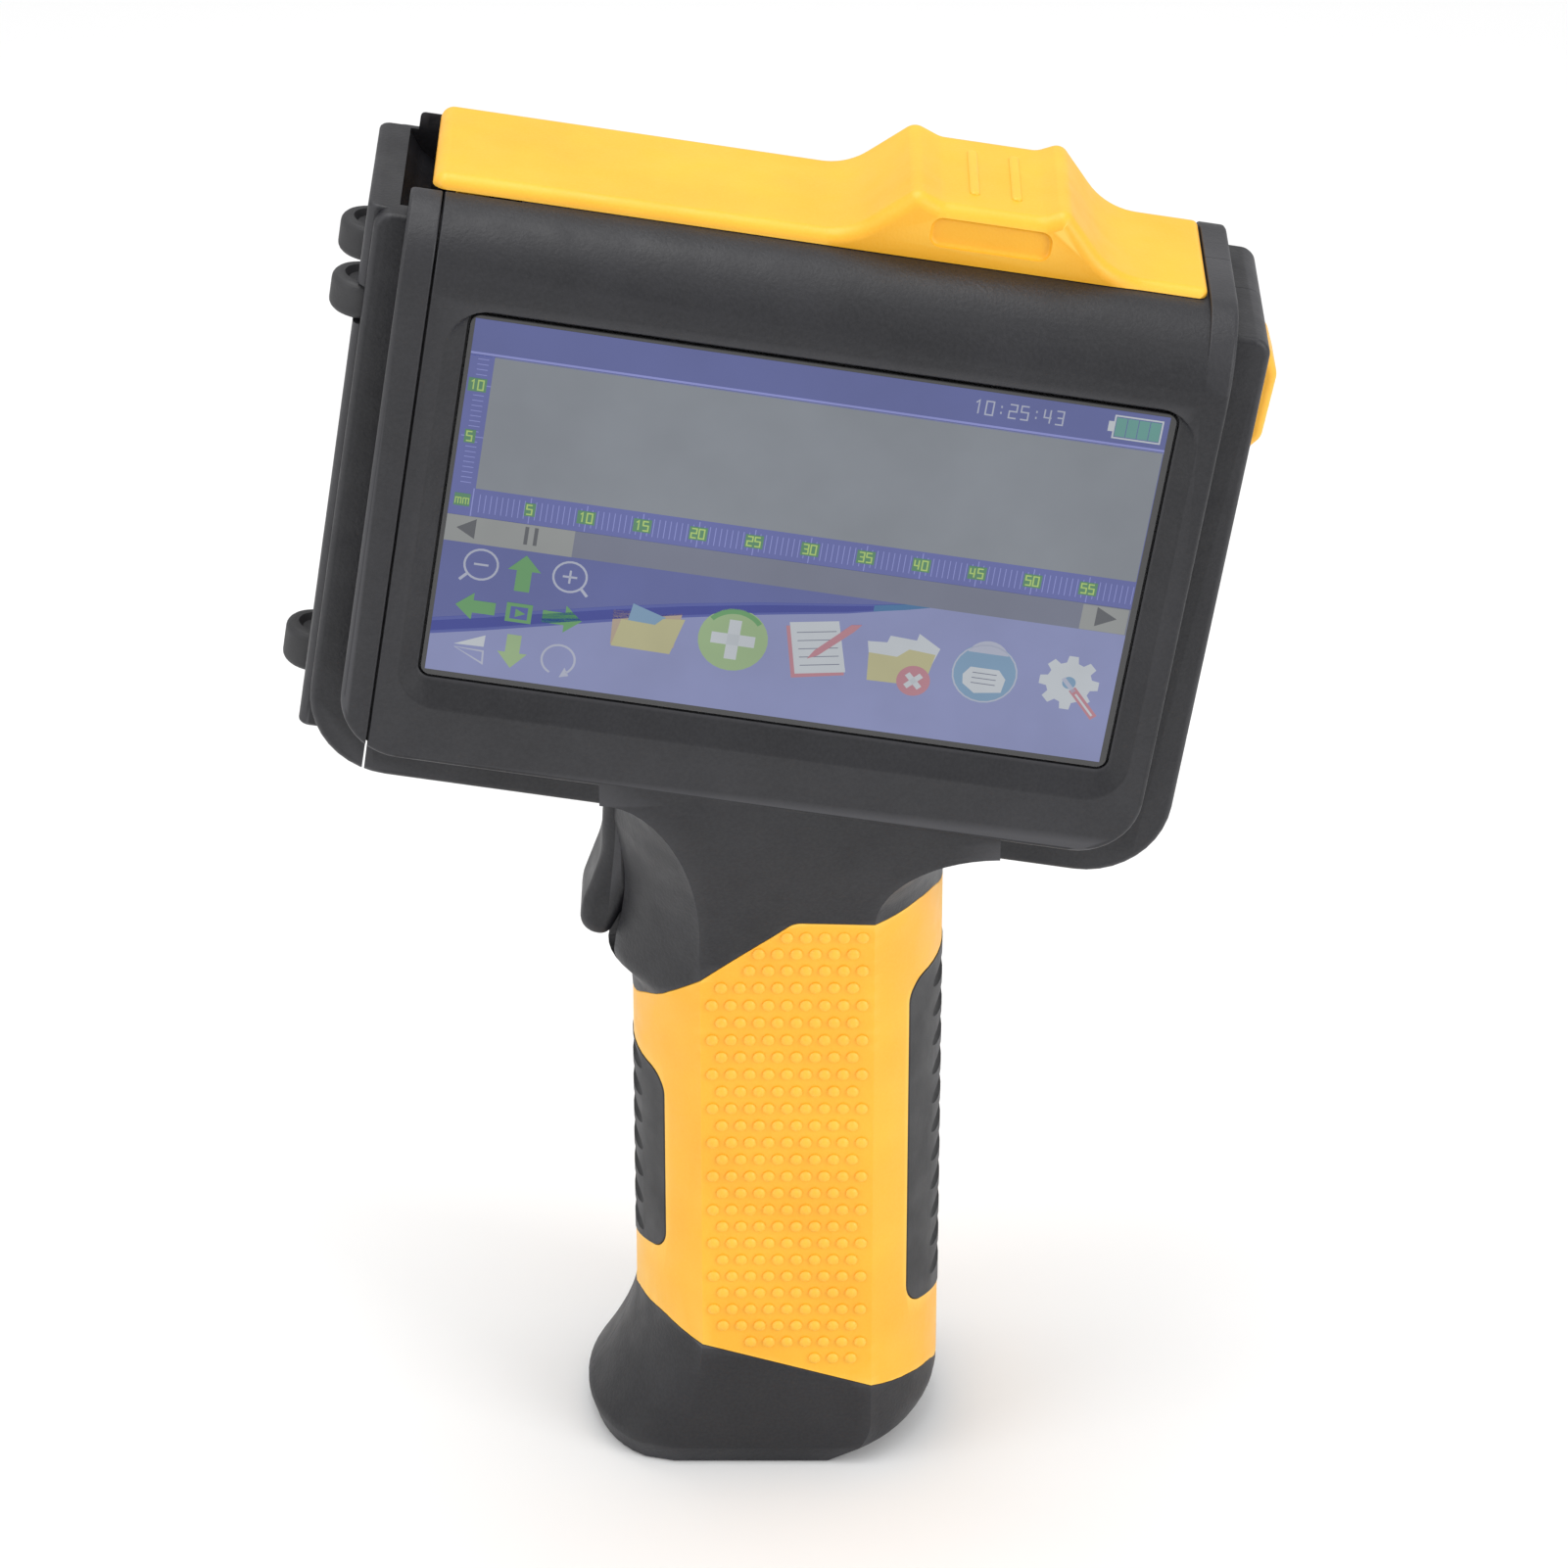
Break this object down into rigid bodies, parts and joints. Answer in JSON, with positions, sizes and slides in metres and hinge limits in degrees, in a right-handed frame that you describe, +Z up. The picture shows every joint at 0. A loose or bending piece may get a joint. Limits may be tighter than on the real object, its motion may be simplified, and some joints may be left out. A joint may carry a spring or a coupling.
{
  "type": "hand-held date code inkjet printer",
  "caption": "Hand-held inkjet coding printer: raked head with colour screen, hinged top lid, guide rollers, pistol grip with trigger and flared base.",
  "frame": {"origin": "centre of the flat underside of the base, on the parting plane of the casings", "axes": "+Z up the grip, -Y the way the screen faces, -X the way the print face points"},
  "size_m": [0.1395, 0.044, 0.2061],
  "materials": {
    "black_plastic": "fine moulded grain",
    "yellow_plastic": "fine satin moulding",
    "grey_plastic": "satin",
    "chip_plastic": "satin",
    "socket_plastic": "satin",
    "cartridge_plastic": "semi-gloss",
    "cell_wrap": "shrink wrap",
    "rubber": "matt",
    "screen_glass": "polished cover glass over a lit display",
    "metal_can": "satin",
    "steel": "satin",
    "black_steel": "black oxide",
    "gold_plate": "polished",
    "circuit_board": "solder mask"
  },
  "bodies": {
    "root": {"front_shell": "black_plastic", "rear_shell": "black_plastic", "nose_cover": "black_plastic", "lid_hinge_pin": "steel", "lid_catch": "steel", "cover_glass": "screen_glass", "screen_gasket": "rubber", "lcd_module": "metal_can", "main_board": "circuit_board", "board_chips": "chip_plastic", "battery_lead_socket": "socket_plastic", "cartridge_holder": "grey_plastic", "ink_cartridge": "cartridge_plastic", "nozzle_plate": "gold_plate", "contact_board": "circuit_board", "holder_screws": "steel", "roller_pins": "steel", "encoder_board": "circuit_board", "grip_front": "yellow_plastic", "grip_rear": "yellow_plastic", "finger_pad": "rubber", "palm_pad": "rubber", "trigger_pin": "steel", "trigger_spring": "steel", "trigger_switch": "chip_plastic", "button_switch": "chip_plastic", "button_board": "circuit_board", "battery_cell_left": "cell_wrap", "battery_cell_right": "cell_wrap", "battery_cradle": "grey_plastic", "contact_strips": "steel", "charge_socket": "steel", "buzzer": "chip_plastic", "shell_screws": "black_steel", "board_screws": "steel"},
    "lid": {"lid": "yellow_plastic"},
    "trigger": {"trigger": "black_plastic"},
    "power_button": {"power_button": "yellow_plastic"},
    "upper_roller_front": {"upper_roller_front": "rubber"},
    "upper_roller_rear": {"upper_roller_rear": "rubber"},
    "lower_roller": {"lower_roller": "rubber"}
  },
  "joints": [
    {"name": "lid_hinge", "type": "hinge", "parent": "root", "child": "lid", "pos_m": [-0.04265, 0, 0.20071], "axis": [0, -1, 0], "range_deg": [0, 95]},
    {"name": "trigger_pull", "type": "hinge", "parent": "root", "child": "trigger", "pos_m": [-0.0175, 0, 0.1015], "axis": [0, -1, 0], "range_deg": [0, 7], "stiffness_Nm_per_rad": 0.4, "springref_deg": -17.19},
    {"name": "power_press", "type": "slide", "parent": "root", "child": "power_button", "axis": [-0.9877, 0, 0.1564], "range_m": [0, 0.0008], "stiffness_N_per_m": 800, "springref_m": -0.001},
    {"name": "upper_front_spin", "type": "hinge", "parent": "root", "child": "upper_roller_front", "pos_m": [-0.05766, -0.0095, 0.1878], "axis": [0.1564, 0, 0.9877], "continuous": true},
    {"name": "upper_rear_spin", "type": "hinge", "parent": "root", "child": "upper_roller_rear", "pos_m": [-0.05766, 0.0095, 0.1878], "axis": [0.1564, 0, 0.9877], "continuous": true},
    {"name": "lower_spin", "type": "hinge", "parent": "root", "child": "lower_roller", "pos_m": [-0.06696, 0, 0.12903], "axis": [0.1564, 0, 0.9877], "continuous": true}
  ]
}
